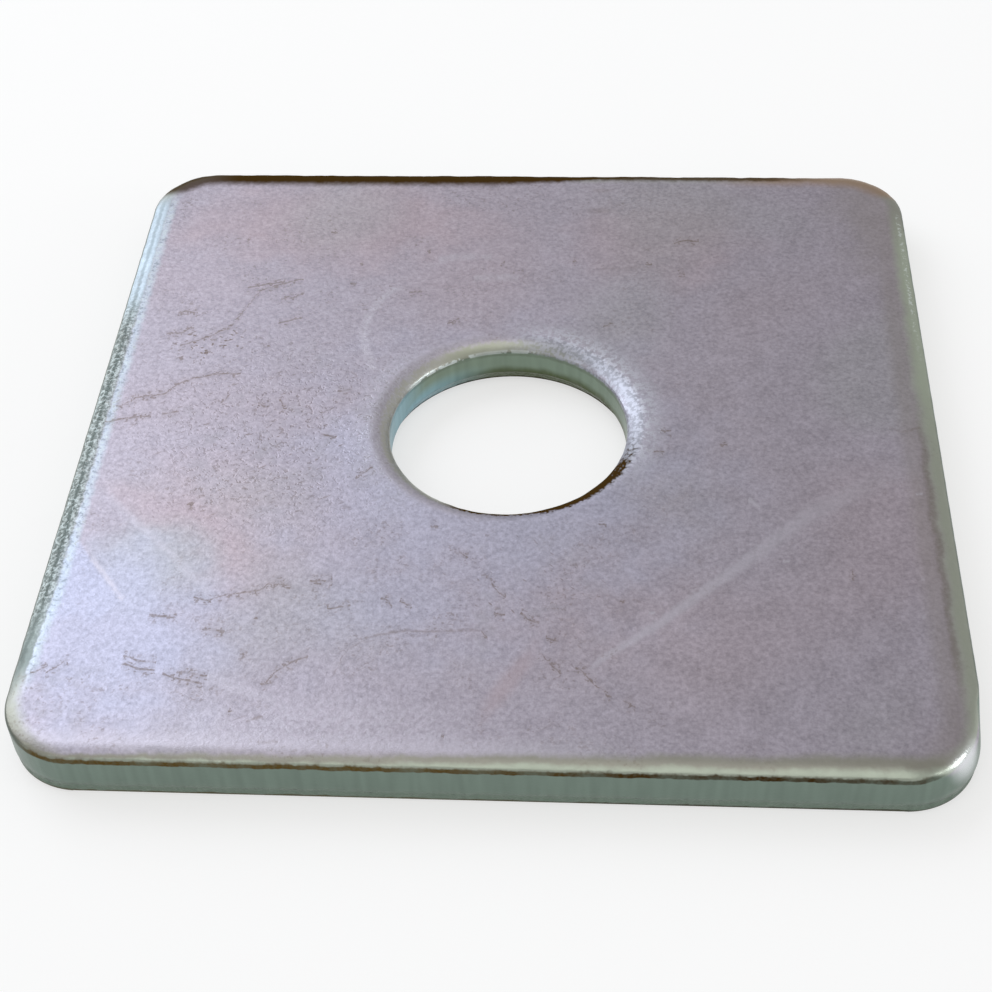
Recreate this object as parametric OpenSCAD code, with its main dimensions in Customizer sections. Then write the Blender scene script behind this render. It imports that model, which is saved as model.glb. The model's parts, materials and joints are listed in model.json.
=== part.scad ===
// Square plate washer: a blank sheared from steel sheet, with round corners and one punched bolt hole.
// The frame: the origin is on the hole's axis, at the lower face, and the rolled side faces +Z.
// Blank and hole were cut in one stroke from the same side, so both have their rolled edge above,
// a burnished land below it, and a torn zone down to the lower face.

/* [Plate] */
// Side of the square blank, measured across its burnished walls
plate_side = 50; // [34:0.5:100]
// Thickness of the sheet
sheet_thickness = 3; // [2:0.1:6]
// Radius of the blank's four corners, seen from above
corner_radius = 4; // [2:0.1:12]

/* [Bolt hole] */
// Diameter of the hole at its burnished land
hole_diameter = 14; // [6:0.5:26]

/* [Rolled edges] */
// How far the rolled edge reaches in from the blank's walls
edge_roll_width = 1; // [0.4:0.05:1.6]
// How far the rolled edge drops below the upper face
edge_roll_depth = 0.3; // [0.1:0.05:0.8]
// How far the hole's rolled lip reaches out from its wall
lip_roll_width = 1.2; // [0.6:0.05:2]
// How far the hole's rolled lip drops below the upper face
lip_roll_depth = 0.6; // [0.1:0.05:0.9]

/* [Torn zone] */
// Height of the torn zone above the lower face
torn_height = 0.8; // [0.3:0.05:1]
// How far the blank's walls step in across the torn zone
wall_tear_inset = 0.05; // [0.02:0.01:0.3]
// How far the hole flares out across the torn zone
hole_tear_flare = 0.35; // [0.05:0.01:0.6]
// Width of the break on the sharp edges round the lower face
burr_break = 0.1; // [0.05:0.01:0.25]

/* [Hidden] */

$fn = 96;

// Zinc plate with a clear passivate, a mauve grey
zinc_grey = [0.68, 0.66, 0.71];
// Overshoot of a cutter past the face that it cuts
cut_past = 0.5;

corner_centre = plate_side / 2 - corner_radius;
straight_run = 2 * corner_centre;
hole_radius = hole_diameter / 2;

// Radius of an arc that leaves the upper face flush and meets a wall at this depth, this far on.
function roll_radius(width, depth) = (width * width + depth * depth) / (2 * depth);

// What shearing takes off a square edge on the rolled side: the corner above one arc.
// The wall is at x = 0 with the metal at x < 0, and the upper face is at y = 0.
module roll_waste(width, depth) {
    radius = roll_radius(width, depth);
    difference() {
        translate([-width, -depth])
            square([width + cut_past, depth + cut_past]);
        translate([-width, -radius])
            circle(radius);
    }
}

// Half section of the blank's edge: x runs out from a corner's axis to the wall, y runs up.
module edge_section() {
    torn_foot = corner_radius - wall_tear_inset;
    difference() {
        polygon([
            [0, 0],
            [torn_foot - burr_break, 0],
            [torn_foot, burr_break],
            [corner_radius, torn_height],
            [corner_radius, sheet_thickness],
            [0, sheet_thickness]
        ]);
        translate([corner_radius, sheet_thickness])
            roll_waste(edge_roll_width, edge_roll_depth);
    }
}

// One straight side of the blank, without its corners.
module straight_side() {
    translate([corner_centre, straight_run / 2, 0])
        rotate([90, 0, 0])
            linear_extrude(height = straight_run)
                edge_section();
}

// One quarter-round corner of the blank.
module round_corner() {
    translate([corner_centre, corner_centre, 0])
        rotate_extrude(angle = 90)
            edge_section();
}

// The sheared blank, before the hole: a square core with a side and a corner for each quarter turn.
module blank() {
    translate([-corner_centre, -corner_centre, 0])
        cube([straight_run, straight_run, sheet_thickness]);
    for (turn = [0 : 90 : 270])
        rotate([0, 0, turn]) {
            straight_side();
            round_corner();
        }
}

// What the punch leaves open, turned about the hole's axis: the land, the flared tear and the rolled lip.
module punched_hole() {
    flare_radius = hole_radius + hole_tear_flare;
    rotate_extrude() {
        polygon([
            [0, -cut_past],
            [flare_radius + burr_break, -cut_past],
            [flare_radius + burr_break, 0],
            [flare_radius, burr_break],
            [hole_radius, torn_height],
            [hole_radius, sheet_thickness + cut_past],
            [0, sheet_thickness + cut_past]
        ]);
        translate([hole_radius, sheet_thickness])
            mirror([1, 0])
                roll_waste(lip_roll_width, lip_roll_depth);
    }
}

module plate_washer() {
    color(zinc_grey)
        difference() {
            blank();
            punched_hole();
        }
}

plate_washer();
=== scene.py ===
# %% [markdown]
# # A square plate washer
# The washer is one piece of steel sheet. A press sheared a square with round corners out of the sheet and
# punched the bolt hole in the same stroke, and the blank was then plated with zinc. The measured part is
# loaded as a fixed frame. A finer mesh of the same form is built over it, because the grain of the torn
# steel, the wavering shear line and the small dents are too fine for the measured solid.

# %% Load the measured part
import json
import math

import bmesh
import bpy
from mathutils import Matrix, Vector


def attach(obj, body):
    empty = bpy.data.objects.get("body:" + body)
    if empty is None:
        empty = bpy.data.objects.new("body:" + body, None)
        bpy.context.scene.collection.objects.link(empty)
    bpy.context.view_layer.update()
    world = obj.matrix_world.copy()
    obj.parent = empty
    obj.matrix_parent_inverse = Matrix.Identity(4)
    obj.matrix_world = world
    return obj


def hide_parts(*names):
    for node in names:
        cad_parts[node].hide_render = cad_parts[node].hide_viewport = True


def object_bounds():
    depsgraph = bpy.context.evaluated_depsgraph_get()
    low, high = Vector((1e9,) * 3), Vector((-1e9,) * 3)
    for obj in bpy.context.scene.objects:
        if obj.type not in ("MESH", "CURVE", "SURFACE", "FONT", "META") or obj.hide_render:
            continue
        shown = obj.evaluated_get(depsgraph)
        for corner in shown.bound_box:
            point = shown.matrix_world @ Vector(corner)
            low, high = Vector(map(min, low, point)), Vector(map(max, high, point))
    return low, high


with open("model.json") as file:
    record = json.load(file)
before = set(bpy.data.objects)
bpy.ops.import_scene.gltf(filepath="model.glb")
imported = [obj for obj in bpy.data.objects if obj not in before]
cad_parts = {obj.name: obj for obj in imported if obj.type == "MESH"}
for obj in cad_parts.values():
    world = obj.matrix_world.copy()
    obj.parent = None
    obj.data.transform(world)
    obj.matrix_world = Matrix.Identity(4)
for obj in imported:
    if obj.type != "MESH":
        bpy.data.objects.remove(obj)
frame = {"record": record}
cad_low, cad_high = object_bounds()
print("measured part, metres:", cad_low[:], "to", cad_high[:])

# %% [markdown]
# ## Sizes
# The frame is in metres, but many of Blender's operators treat points closer than a thousandth of a unit
# as one point. The mesh is therefore modelled at one unit to the millimetre and shrunk at the very end.
# The side, the thickness and the hole come from the frame, and the small sizes of the sheared edge
# repeat those of the measured solid.

# %% Sizes in millimetres
MM = 0.001
plate_side = (cad_high.x - cad_low.x) / MM
sheet_thickness = (cad_high.z - cad_low.z) / MM
mounts = {mount["name"]: mount for mount in frame["record"]["mounts"]}
hole_radius = mounts["bolt_hole"]["dims"]["r_mm"]
corner_radius = 4.0
edge_roll_width, edge_roll_depth = 1.0, 0.3
lip_roll_width, lip_roll_depth = 1.2, 0.6
torn_height = 0.8
wall_tear_inset = 0.05
hole_tear_flare = 0.35
burr_break = 0.1
wall_shear_line = sheet_thickness - edge_roll_depth
hole_shear_line = sheet_thickness - lip_roll_depth
print("plate", round(plate_side, 3), "thick", round(sheet_thickness, 3), "hole", 2 * hole_radius)

# %% [markdown]
# ## The blank's outline
# From above, the blank is a square with round corners. A plane whose four points are bevelled gives true
# arcs. The sides are then cut into short steps, so that the steel can waver along them. A side is cut
# twice into fifteen, because one pass of the subdivide operator makes at most a hundred cuts.

# %% Outline at the height of the shear line
CORNER_STEPS = 31
SIDE_CUTS = 15


def select_where(piece, test, kind="VERT"):
    """In edit mode, select only the points, edges or faces of the piece that pass the test."""
    bpy.ops.mesh.select_mode(type=kind)
    bpy.ops.mesh.select_all(action="DESELECT")
    mesh = bmesh.from_edit_mesh(piece.data)
    for element in {"VERT": mesh.verts, "EDGE": mesh.edges, "FACE": mesh.faces}[kind]:
        element.select = test(element)
    mesh.select_flush_mode()
    bmesh.update_edit_mesh(piece.data)


bpy.ops.object.select_all(action="DESELECT")
bpy.ops.mesh.primitive_plane_add(size=plate_side, location=(0, 0, wall_shear_line))
bpy.ops.object.transform_apply(location=True)
washer = bpy.context.object
washer.name = "zinc_washer"
bpy.ops.object.mode_set(mode="EDIT")
bpy.ops.mesh.bevel(offset=corner_radius, segments=CORNER_STEPS, affect="VERTICES")
bpy.ops.mesh.delete(type="ONLY_FACE")
select_where(washer, lambda edge: edge.calc_length() > corner_radius, "EDGE")
for cut in range(2):
    bpy.ops.mesh.subdivide(number_cuts=SIDE_CUTS - 1)
bpy.ops.mesh.select_all(action="SELECT")
bpy.ops.mesh.edge_face_add()
outline = bmesh.from_edit_mesh(washer.data)
if next(iter(outline.faces)).normal.z < 0:
    bpy.ops.mesh.flip_normals()
COLUMNS = len(outline.verts)
print("outline of", COLUMNS, "points")

# %% [markdown]
# ## The rolled edge
# Before a shear bites, it drags the upper face down with it, so the upper edge of the blank is rounded.
# A bevel would round it evenly. The real roll is a shallow arc that leaves the face flush and still meets
# the wall at an angle, so the face is inset in small steps that follow that arc. One narrow flat ring
# comes last: it holds the shading of the wide flat face apart from the shading of the roll.

# %% Roll the edge up from the shear line
EDGE_ROLL_STEPS = 6
FLAT_RING = 0.15


def roll_steps(width, depth, count):
    """Steps along a rolled arc, from the wall to the upper face: how far in and how far up each one goes."""
    radius = (width**2 + depth**2) / (2 * depth)
    steepest = math.asin(width / radius)
    slopes = [steepest * (1 - step / count) for step in range(count + 1)]
    inward = [width - radius * math.sin(slope) for slope in slopes]
    upward = [radius * (math.cos(slope) - math.cos(steepest)) for slope in slopes]
    return [(inward[i + 1] - inward[i], upward[i + 1] - upward[i]) for i in range(count)]


for inward, upward in roll_steps(edge_roll_width, edge_roll_depth, EDGE_ROLL_STEPS):
    bpy.ops.mesh.inset(thickness=inward, depth=upward, use_boundary=True)
bpy.ops.mesh.inset(thickness=FLAT_RING, depth=0, use_boundary=True)
bpy.ops.mesh.delete(type="ONLY_FACE")
print("rolled edge in", EDGE_ROLL_STEPS, "steps")

# %% [markdown]
# ## The wall
# Below the roll, the wall is first burnished by the die. Lower down the steel tears, and the tear slants
# in a little. At the foot the burr was broken by tumbling. The ring of the outline is pulled down for each
# band and scaled as it goes. The shear line is then softened by a narrow bevel, because plating rounds it.

# %% Pull the wall down
LAND_ROWS = 6
TORN_ROWS = 6
BREAK_ROWS = 2
SHEAR_LINE_ROUND = 0.12
NEAR = 0.001


def pull_down(rows, drop, width, new_width):
    """Extrude the selected ring downwards in rows while its width changes evenly to a new width."""
    for row in range(rows):
        before = width + (new_width - width) * row / rows
        after = width + (new_width - width) * (row + 1) / rows
        bpy.ops.mesh.extrude_edges_move(TRANSFORM_OT_translate={"value": (0, 0, -drop / rows)})
        spread = after / before
        bpy.ops.transform.resize(value=(spread, spread, 1), center_override=(0, 0, 0))


def at_height(height):
    """A test for points at this height."""
    return lambda point: abs(point.co.z - height) < NEAR


torn_foot = plate_side - 2 * wall_tear_inset
select_where(washer, at_height(wall_shear_line))
pull_down(LAND_ROWS, wall_shear_line - torn_height, plate_side, plate_side)
pull_down(TORN_ROWS, torn_height - burr_break, plate_side, torn_foot)
pull_down(BREAK_ROWS, burr_break, torn_foot, torn_foot - 2 * burr_break)
select_where(washer, at_height(wall_shear_line))
bpy.ops.mesh.bevel(offset=SHEAR_LINE_ROUND, segments=3, affect="EDGES")
bpy.ops.object.mode_set(mode="OBJECT")
print("blank without its faces:", len(washer.data.polygons), "faces")

# %% [markdown]
# ## The bolt hole
# The punch pushes a disc down through the sheet, and the mesh is made the same way. A disc as wide as the
# rolled lip is inset and lowered along the lip's arc, its middle is taken out, and the ring is pulled down:
# straight along the burnished land, then outwards through the torn zone. The ring has as many points as
# the blank's outline, so the two can be bridged later.

# %% Punch the hole
LIP_ROLL_STEPS = 9

bpy.ops.object.select_all(action="DESELECT")
bpy.ops.mesh.primitive_circle_add(
    vertices=COLUMNS,
    radius=hole_radius + lip_roll_width + FLAT_RING,
    fill_type="NGON",
    location=(0, 0, sheet_thickness),
)
bpy.ops.object.transform_apply(location=True)
bore = bpy.context.object
bpy.ops.object.mode_set(mode="EDIT")
bpy.ops.mesh.select_all(action="SELECT")
bpy.ops.mesh.inset(thickness=FLAT_RING, depth=0, use_boundary=True)
for inward, upward in reversed(roll_steps(lip_roll_width, lip_roll_depth, LIP_ROLL_STEPS)):
    bpy.ops.mesh.inset(thickness=inward, depth=-upward, use_boundary=True)
bpy.ops.mesh.delete(type="ONLY_FACE")
flare_radius = hole_radius + hole_tear_flare
select_where(bore, at_height(hole_shear_line))
pull_down(LAND_ROWS, hole_shear_line - torn_height, hole_radius, hole_radius)
pull_down(TORN_ROWS, torn_height - burr_break, hole_radius, flare_radius)
pull_down(BREAK_ROWS, burr_break, flare_radius, flare_radius + burr_break)
select_where(bore, at_height(hole_shear_line))
bpy.ops.mesh.bevel(offset=SHEAR_LINE_ROUND, segments=3, affect="EDGES")
bpy.ops.object.mode_set(mode="OBJECT")
print("bore:", len(bore.data.polygons), "faces")

# %% [markdown]
# ## The two faces
# The upper and lower faces join the hole to the blank's edge. One large face would be flat for ever, so
# the open rings are bridged with many cuts, which leaves rings of small faces that can be dented.

# %% Bridge the hole to the edge, above and below
UPPER_RINGS = 22
LOWER_RINGS = 10

bpy.ops.object.select_all(action="DESELECT")
bore.select_set(True)
washer.select_set(True)
bpy.context.view_layer.objects.active = washer
bpy.ops.object.join()
bpy.ops.object.mode_set(mode="EDIT")
for height, rings in ((sheet_thickness, UPPER_RINGS), (0, LOWER_RINGS)):
    open_ring = at_height(height)
    select_where(washer, lambda edge: edge.is_boundary and all(map(open_ring, edge.verts)), "EDGE")
    bpy.ops.mesh.bridge_edge_loops(number_cuts=rings, interpolation="LINEAR")
bpy.ops.mesh.select_all(action="SELECT")
bpy.ops.mesh.normals_make_consistent(inside=False)
bpy.ops.object.mode_set(mode="OBJECT")
triangles = sum(len(face.vertices) - 2 for face in washer.data.polygons)
print("washer:", triangles, "triangles")

# %% [markdown]
# ## Unevenness
# Sheared steel is never even: the shear line wavers, the torn zones are grainy, the faces have shallow
# hollows, and one edge was dragged rough. Sculpting that by hand would be slow and random. A Displace
# modifier with a clouds texture does it, and a vertex group keeps each one to its own zone. The faces only
# ever move inwards, so the washer stays inside its measured size.

# %% Zones of the surface


def smooth_step(value, start, end):
    """0 before start, 1 after end, and an easy curve between them."""
    share = min(max((value - start) / (end - start), 0), 1)
    return share * share * (3 - 2 * share)


def from_edge(place):
    """Distance of a point in from the blank's outline, seen from above."""
    corner_centre = plate_side / 2 - corner_radius
    past = Vector((abs(place.x) - corner_centre, abs(place.y) - corner_centre))
    outside = Vector((max(past.x, 0), max(past.y, 0))).length
    return corner_radius - outside - min(max(past.x, past.y), 0)


def near_shear_line(place):
    """1 on the shear line of the wall or the hole, and 0 a little above and below it."""
    in_hole = place.xy.length < hole_radius + lip_roll_width
    line = hole_shear_line if in_hole else wall_shear_line
    on_side = from_edge(place) < edge_roll_width or in_hole
    return on_side * (1 - smooth_step(abs(place.z - line), 0.02, 0.3))


def torn_zone(place):
    """1 in the torn bands of the wall and the hole, fading out at their top and at the foot."""
    on_wall = from_edge(place) < wall_tear_inset + NEAR
    in_hole = place.xy.length < flare_radius + NEAR
    rising = smooth_step(place.z, 0, burr_break)
    return (on_wall or in_hole) * rising * (1 - smooth_step(place.z, torn_height - 0.2, torn_height))


def dragged_edge(place):
    """1 along the rough middle of the roll on the -X side."""
    along = smooth_step(21 - abs(place.y), 0, 6)
    across = 1 - smooth_step(abs(from_edge(place) - 0.45), 0.15, 0.45)
    return along * across * (place.x < 0) * (place.z > wall_shear_line - 0.1)


def worn_corner(place):
    """1 round the upper edge of the corner at +X -Y, which was knocked round."""
    away = (place.xy - Vector((plate_side / 2 - 1, 2.5 - plate_side / 2))).length
    return (1 - smooth_step(away, 1.2, 4)) * smooth_step(place.z, 1.2, 2.2)


def open_face(place):
    """1 on the upper and lower faces, away from their edges."""
    level = place.z > sheet_thickness - NEAR or place.z < NEAR
    return level * smooth_step(from_edge(place), 1, 4) * smooth_step(place.xy.length - hole_radius, 1.2, 4)


for zone in (near_shear_line, torn_zone, dragged_edge, worn_corner, open_face):
    group = washer.vertex_groups.new(name=zone.__name__)
    for vertex in washer.data.vertices:
        weight = zone(vertex.co)
        if weight > 0:
            group.add([vertex.index], weight, "REPLACE")
    print("zone", group.name)

# %% Displace each zone


def make_uneven(zone, grain, amount, direction="NORMAL", middle=1.0):
    """Displace one zone of the washer by clouds of this grain size, in millimetres."""
    clouds = bpy.data.textures.new(zone + "_clouds", "CLOUDS")
    clouds.noise_scale = grain
    clouds.noise_depth = 3
    bpy.ops.object.modifier_add(type="DISPLACE")
    displace = washer.modifiers[-1]
    displace.texture = clouds
    displace.texture_coords = "LOCAL"
    displace.vertex_group = zone
    displace.direction = direction
    displace.mid_level = middle
    displace.strength = amount
    bpy.ops.object.modifier_apply(modifier=displace.name)


make_uneven("near_shear_line", grain=1.2, amount=0.13, direction="Z", middle=0.5)
make_uneven("torn_zone", grain=0.45, amount=0.1)
make_uneven("dragged_edge", grain=0.5, amount=0.05)
make_uneven("open_face", grain=7.0, amount=0.04)
bpy.ops.object.modifier_add(type="SMOOTH")
knock = washer.modifiers[-1]
knock.vertex_group = "worn_corner"
knock.factor = 0.5
knock.iterations = 200
bpy.ops.object.modifier_apply(modifier=knock.name)
print("uneven washer, mm:", [round(size, 3) for size in washer.dimensions])

# %% [markdown]
# ## Into the frame
# The finished mesh is shrunk to metres inside edit mode, so the object itself stays at the origin, unturned
# and unscaled, as the measured part is. It takes the measured node's place and rides on the only body.

# %% Shrink to metres and take the node's place
bpy.ops.object.mode_set(mode="EDIT")
bpy.ops.mesh.select_all(action="SELECT")
bpy.ops.transform.resize(value=(MM, MM, MM), center_override=(0, 0, 0))
bpy.ops.object.mode_set(mode="OBJECT")
washer.vertex_groups.clear()
bpy.ops.object.shade_smooth_by_angle(angle=math.radians(40))
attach(washer, "root")
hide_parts("plate_washer")
print("washer in the frame, metres:", [round(size, 6) for size in washer.dimensions])

# %% [markdown]
# ## Camera
# The camera stands in front of the washer and looks down on it. It is placed by its direction and distance
# from the washer, then aimed by small turns, as a photographer turns a tripod head.

# %% Camera at the photograph's angle
IMAGE_SIZE = 992
FOCAL_PIXELS = 1860.6
SENSOR_WIDTH = 36.0
AZIMUTH, ELEVATION, DISTANCE = 4.375, 43.98, 111.58
PAN, TILT, ROLL = -0.457, 1.124, 2.214

round_z = math.radians(AZIMUTH)
above = math.radians(ELEVATION)
back = Vector((math.sin(round_z) * math.cos(above), -math.cos(round_z) * math.cos(above), math.sin(above)))
facing = (-back).to_track_quat("-Z", "Y").to_matrix()
head = (
    Matrix.Rotation(-math.radians(TILT), 3, "X")
    @ Matrix.Rotation(-math.radians(PAN), 3, "Y")
    @ Matrix.Rotation(-math.radians(ROLL), 3, "Z")
)
bpy.ops.object.camera_add(location=back * DISTANCE * MM, rotation=(facing @ head).to_euler())
camera = bpy.context.object
camera.data.sensor_width = SENSOR_WIDTH
camera.data.lens = FOCAL_PIXELS / IMAGE_SIZE * SENSOR_WIDTH
camera.data.clip_start = 0.005
bpy.context.scene.camera = camera
print("lens", round(camera.data.lens, 2), "mm")

# %% [markdown]
# ## Floor and light
# The washer lies on a plain pale floor. A share of the floor glows for the rays that come from the camera
# or off the metal, so it looks white and still keeps the washer's shadow. Satin metal shows what is around
# it, so the light is a few soft boxes: a large cool one behind on the left, a dim one behind, a weak one
# overhead, and a small low one on the right that catches the front corner. An even pale world fills in
# the rest.

# %% Floor
WHITER = 0.6

bpy.ops.object.select_all(action="DESELECT")
bpy.ops.mesh.primitive_plane_add(size=4, location=(0, 0, -0.02 * MM))
floor = bpy.context.object
floor.name = "floor"
paper = bpy.data.materials.new("floor_paper")
paper.use_nodes = True
paper_nodes, paper_links = paper.node_tree.nodes, paper.node_tree.links
paper_nodes["Principled BSDF"].inputs["Base Color"].default_value = (0.92, 0.92, 0.92, 1)
paper_nodes["Principled BSDF"].inputs["Roughness"].default_value = 0.9
glow = paper_nodes.new("ShaderNodeEmission")
ray = paper_nodes.new("ShaderNodeLightPath")
seen = ray.outputs["Is Camera Ray"]
for kind in ("Is Glossy Ray", "Is Transmission Ray"):
    either = paper_nodes.new("ShaderNodeMath")
    either.operation = "MAXIMUM"
    paper_links.new(seen, either.inputs[0])
    paper_links.new(ray.outputs[kind], either.inputs[1])
    seen = either.outputs[0]
whiter = paper_nodes.new("ShaderNodeMath")
whiter.operation = "MULTIPLY"
whiter.inputs[1].default_value = WHITER
paper_links.new(seen, whiter.inputs[0])
sheet = paper_nodes.new("ShaderNodeMixShader")
paper_links.new(whiter.outputs[0], sheet.inputs[0])
paper_links.new(paper_nodes["Principled BSDF"].outputs[0], sheet.inputs[1])
paper_links.new(glow.outputs[0], sheet.inputs[2])
paper_links.new(sheet.outputs[0], paper_nodes["Material Output"].inputs["Surface"])
floor.data.materials.append(paper)

# %% Soft boxes and world
WORLD_BRIGHTNESS = 0.58


def soft_box(name, azimuth, elevation, distance, size, brightness, colour):
    """A square soft box that faces the washer; a brightness of 1 looks as bright as white paper."""
    turn = math.radians(azimuth)
    rise = math.radians(elevation)
    towards = Vector((math.sin(turn) * math.cos(rise), math.cos(turn) * math.cos(rise), math.sin(rise)))
    bpy.ops.object.light_add(type="AREA", location=towards * distance)
    lamp = bpy.context.object
    lamp.name = name
    lamp.rotation_euler = towards.to_track_quat("Z", "Y").to_euler()
    lamp.data.size = size
    lamp.data.energy = brightness * math.pi * size * size
    lamp.data.color = colour


soft_box("left_window", -52, 35, 0.5, 0.42, 2.55, (0.86, 0.92, 1.0))
soft_box("back_fill", -12, 40, 0.5, 0.2, 0.42, (0.95, 0.97, 1.0))
soft_box("overhead", 180, 78, 0.5, 0.35, 0.9, (1.0, 1.0, 0.97))
soft_box("right_low", 101, 16, 0.4, 0.09, 7.0, (0.95, 0.98, 1.0))

world = bpy.data.worlds.new("studio")
world.use_nodes = True
world.node_tree.nodes["Background"].inputs["Color"].default_value = (1, 0.985, 0.965, 1)
world.node_tree.nodes["Background"].inputs["Strength"].default_value = WORLD_BRIGHTNESS
bpy.context.scene.world = world
bpy.context.scene.view_settings.view_transform = "Standard"

# %% [markdown]
# ## The finish
# The steel is plated with zinc, and the zinc has a clear passivate: a satin mauve grey with a faint bloom
# of pink, green and lilac. The sheared walls took the plate less well and are a dull green grey. Dark brown
# sits in the corners that the shear left, and handling has scratched the faces. Some colours here are
# painted light: painted highlights, glints and reflections on the edges and round the hole, and painted
# shade along the foot and the outline. It is one coat on one piece, so it is one material. Its nodes work
# from a point's place on the washer in millimetres, so nothing is unwrapped and every side is covered.
# Small helpers keep the node tree readable.

# %% Helpers for the node tree
zinc = bpy.data.materials.new("satin_zinc")
zinc.use_nodes = True
washer.data.materials.append(zinc)


def add_node(kind, feeds, tree=zinc.node_tree, **settings):
    """Add a node, set it up, and feed its inputs with numbers or with the outputs of other nodes."""
    node = tree.nodes.new(kind)
    for name, value in settings.items():
        setattr(node, name, value)
    for socket, value in feeds.items():
        if isinstance(value, bpy.types.NodeSocket):
            tree.links.new(value, node.inputs[socket])
        else:
            node.inputs[socket].default_value = value
    return node


def reckon(operation, *numbers):
    """A number worked out from other numbers."""
    return add_node("ShaderNodeMath", dict(enumerate(numbers)), operation=operation).outputs[0]


def reckon_place(operation, *places):
    """A place worked out from other places."""
    return add_node("ShaderNodeVectorMath", dict(enumerate(places)), operation=operation).outputs["Vector"]


def length(place):
    """How far a place is from the origin."""
    return add_node("ShaderNodeVectorMath", {0: place}, operation="LENGTH").outputs["Value"]


def rise(value, start, end, low=0, high=1):
    """0 before start, 1 after end, or two other numbers, and an easy curve between them."""
    feeds = {"Value": value, "From Min": start, "From Max": end, "To Min": low, "To Max": high}
    settings = {"interpolation_type": "SMOOTHSTEP", "clamp": False}
    return add_node("ShaderNodeMapRange", feeds, **settings).outputs["Result"]


def fall(value, start, end):
    """1 before start, 0 after end, and an easy curve between them."""
    return rise(value, start, end, 1, 0)


def times(first, *others):
    """Shares multiplied together."""
    for other in others:
        first = reckon("MULTIPLY", first, other)
    return first


def most(first, *others):
    """The largest of several shares."""
    for other in others:
        first = reckon("MAXIMUM", first, other)
    return first


def paint(share, under, over):
    """A colour laid over another by a share from 0 to 1."""
    return add_node("ShaderNodeMix", {0: share, 6: under, 7: over}, data_type="RGBA").outputs[2]


# %% [markdown]
# ## Where a point lies
# Cycles works a material out with a store of 255 numbers. It puts off every node behind a clamp, or behind
# a vector that changes its kind, and keeps all other results until then, so a tree as large as this one
# can fill the store and turn black. The nodes here therefore clamp nothing, the place is turned into a
# plain vector once, in a group of its own, and its parts are read with dot products.

# %% Where a point lies
place_tree = bpy.data.node_groups.new("place_on_washer", "ShaderNodeTree")
place_tree.interface.new_socket(name="Place", in_out="OUTPUT", socket_type="NodeSocketVector")
object_place = add_node("ShaderNodeTexCoord", {}, place_tree).outputs["Object"]
add_node("NodeGroupOutput", {"Place": object_place}, place_tree)


def along(direction, place):
    """How far a place lies along a direction."""
    feeds = {0: place, 1: direction}
    return add_node("ShaderNodeVectorMath", feeds, operation="DOT_PRODUCT").outputs["Value"]


washer_place = add_node("ShaderNodeTexCoord", {}).outputs["Object"]
plain_place = add_node("ShaderNodeGroup", {}, node_tree=place_tree).outputs["Place"]
place = reckon_place("DIVIDE", plain_place, (MM, MM, MM))
x = along((1, 0, 0), place)
y = along((0, 1, 0), place)
z = along((0, 0, 1), place)
seen_from_above = reckon_place("MULTIPLY", place, (1, 1, 0))
from_axis = length(seen_from_above)
bearing = reckon_place("NORMALIZE", seen_from_above)
corner_centre = plate_side / 2 - corner_radius
past_centre = reckon_place(
    "SUBTRACT", reckon_place("ABSOLUTE", seen_from_above), (corner_centre, corner_centre, 0)
)
round_part = length(reckon_place("MAXIMUM", past_centre, (0, 0, 0)))
past_side = reckon("MAXIMUM", along((1, 0, 0), past_centre), along((0, 1, 0), past_centre))
straight_part = reckon("MINIMUM", past_side, 0)
edge_gap = reckon("SUBTRACT", reckon("SUBTRACT", corner_radius, round_part), straight_part)
lip_gap = reckon("SUBTRACT", from_axis, hole_radius)
upper = rise(z, sheet_thickness - 0.75, sheet_thickness - 0.6)
print("places:", len(zinc.node_tree.nodes), "nodes")

# %% [markdown]
# ## Plate and bloom
# A passivated plate is never one colour. Wide clouds lay a pink and a green bloom over the mauve grey, and
# a few soft patches repeat the large ones on the upper face. Fine clouds over all of that give the satin
# grain of tumbled steel. Every cloud costs render time, so a few are made once and used again below.

# %% Clouds
FINE_GRAIN, PEPPER, FLECK, BLOTCH, PATCH_RAG, BLOOM = 0.22, 0.24, 0.6, 1.6, 3.5, 12.0


def clouds(grain, detail=1.0, harshness=0.5, offset=0.0, stretch=(1, 1, 1), lean=0.0):
    """Cloudy variation, 0 to 1 with a middle of 0.5; the clouds are about this many millimetres across."""
    feeds = {
        "Vector": washer_place,
        "Location": (offset * MM, offset * MM, offset * MM),
        "Rotation": (0, 0, math.radians(lean)),
        "Scale": [share * grain * MM for share in stretch],
    }
    spread = add_node("ShaderNodeMapping", feeds, vector_type="TEXTURE").outputs[0]
    feeds = {"Vector": spread, "Scale": 1.0, "Detail": detail, "Roughness": harshness}
    return add_node("ShaderNodeTexNoise", feeds).outputs["Fac"]


def swing(share, amount):
    """Clouds turned into a number that swings by this amount to either side of 0."""
    return reckon("MULTIPLY_ADD", share, 2 * amount, -amount)


fine = clouds(FINE_GRAIN, 1.0, 0.6)
pepper = clouds(PEPPER, 1.0, 0.6, offset=18)
speckled = rise(pepper, 0.42, 0.6)
fleck = clouds(FLECK, 2.0, 0.65, offset=3)
blotch = clouds(BLOTCH, 2.0, 0.6, offset=15)
rag = clouds(PATCH_RAG, 2.0, 0.6, offset=27)
bloom = clouds(BLOOM, 0.0, 0.5, offset=40)
print("clouds:", len(zinc.node_tree.nodes), "nodes")

# %% Mauve grey with its bloom
MAUVE_GREY = (0.378, 0.347, 0.405, 1)
PINK_BLOOM = (0.408, 0.328, 0.358, 1)
GREEN_BLOOM = (0.350, 0.355, 0.375, 1)
LILAC_BLOOM = (0.405, 0.412, 0.525, 1)
PALE_ZINC = (0.500, 0.478, 0.545, 1)
ragged = swing(rag, 0.6)


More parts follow.
